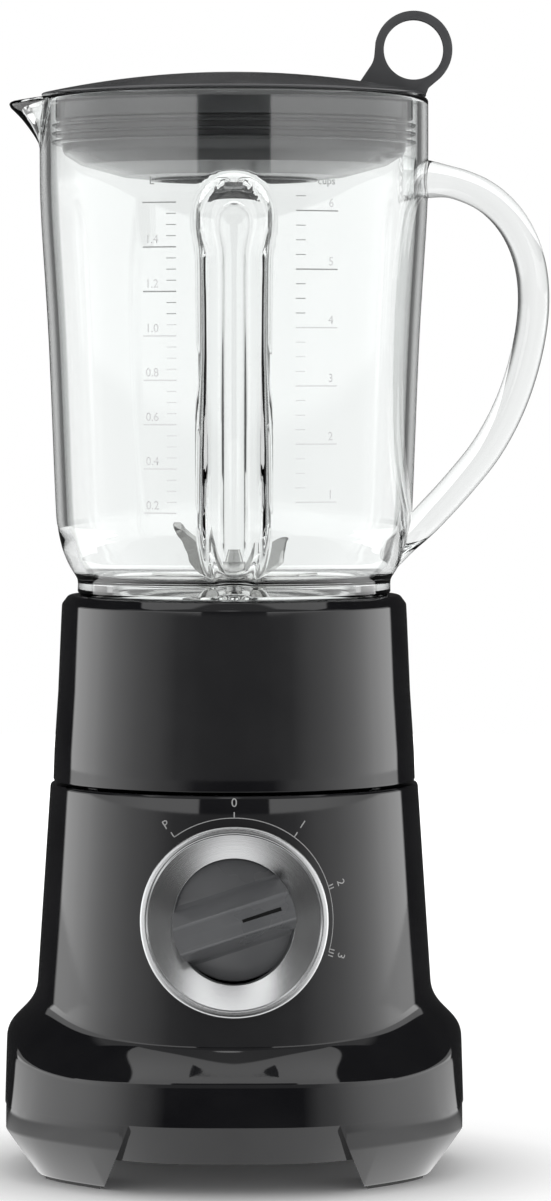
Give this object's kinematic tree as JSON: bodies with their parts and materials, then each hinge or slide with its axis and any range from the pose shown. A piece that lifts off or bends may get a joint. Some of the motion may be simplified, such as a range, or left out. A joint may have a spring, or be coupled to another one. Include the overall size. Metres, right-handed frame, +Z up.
{
  "type": "countertop blender",
  "caption": "Countertop blender with a black motor base and speed dial, lift-off glass jug with spout and handle, blade unit, ringed lid and measuring cap.",
  "frame": {"origin": "middle of the base, on the plane that its feet rest on, under the axis of the jug and the motor", "axes": "+Z up along the motor and jug axis, -Y towards the dial at the front, +X towards the jug's handle"},
  "size_m": [0.1959, 0.1701, 0.4165],
  "materials": {
    "gloss_black": "high-gloss moulded plastic",
    "matte_black": "fine-textured moulded plastic",
    "rubber": "moulded rubber",
    "gasket": "translucent silicone",
    "steel": "bright zinc-plated steel",
    "stainless": "satin stainless steel",
    "bezel_metal": "spun satin metal with a polished rim",
    "switch_body": "natural nylon",
    "capacitor_yellow": "moulded casing",
    "core_iron": "stacked laminations",
    "copper": "enamelled copper",
    "brass": "machined brass",
    "carbon": "pressed carbon",
    "lead_red": "PVC insulation",
    "dial_grey": "satin moulded plastic",
    "glass": "clear pressed glass",
    "lid_grey": "semi-gloss moulded plastic"
  },
  "bodies": {
    "base": {"motor_housing": "gloss_black", "jug_seat": "gloss_black", "bottom_cover": "matte_black", "rubber_feet": "rubber", "cover_screws": "steel", "dial_bezel": "bezel_metal", "speed_switch": "switch_body", "switch_nut": "steel", "lower_bracket": "steel", "upper_bracket": "steel", "lower_bearing": "steel", "upper_bearing": "steel", "stator_core": "core_iron", "field_coils": "copper", "brush_holders": "brass", "carbon_brushes": "carbon", "motor_bolts": "steel", "motor_mounts": "rubber", "mount_screws": "steel", "fan_shroud": "matte_black", "drip_seal": "rubber", "suppression_capacitor": "capacitor_yellow", "terminal_block": "switch_body", "motor_leads": "lead_red", "cord_gland": "rubber"},
    "rotor": {"motor_shaft": "steel", "rotor_core": "core_iron", "rotor_windings": "copper", "commutator": "copper", "cooling_fan": "matte_black", "fan_nut": "steel", "drive_coupling": "rubber"},
    "dial": {"speed_dial": "dial_grey", "switch_spindle": "steel"},
    "jug": {"glass_jug": "glass", "jug_collar": "gloss_black", "jug_gasket": "gasket", "blade_base": "stainless", "blade_bushes": "brass", "shaft_seal": "rubber"},
    "blades": {"blade_shaft": "steel", "upswept_blade": "stainless", "level_blade": "stainless", "blade_washers": "steel", "blade_nut": "stainless", "retaining_clip": "steel", "driven_coupling": "rubber"},
    "lid": {"lid_cover": "lid_grey", "lid_seal": "lid_grey"},
    "cap": {"measuring_cap": "lid_grey", "cap_seal": "rubber"}
  },
  "joints": [
    {"name": "dial_turn", "type": "hinge", "parent": "base", "child": "dial", "pos_m": [0, -0.07, 0.0957], "axis": [0, 1, 0], "range_deg": [-108, 36]},
    {"name": "rotor_spin", "type": "hinge", "parent": "base", "child": "rotor", "pos_m": [0, 0, 0.08], "axis": [0, 0, 1], "continuous": true},
    {"name": "jug_lift", "type": "slide", "parent": "base", "child": "jug", "axis": [0, 0, 1], "range_m": [0, 0.12]},
    {"name": "blade_spin", "type": "hinge", "parent": "jug", "child": "blades", "pos_m": [0, 0, 0.19], "axis": [0, 0, 1], "continuous": true},
    {"name": "lid_lift", "type": "slide", "parent": "jug", "child": "lid", "axis": [0, 0, 1], "range_m": [0, 0.06]},
    {"name": "cap_lift", "type": "slide", "parent": "lid", "child": "cap", "axis": [0, 0, 1], "range_m": [0, 0.06]}
  ],
  "couplings": [
    {"joint": "blade_spin", "follows": "rotor_spin", "ratio": 1}
  ]
}
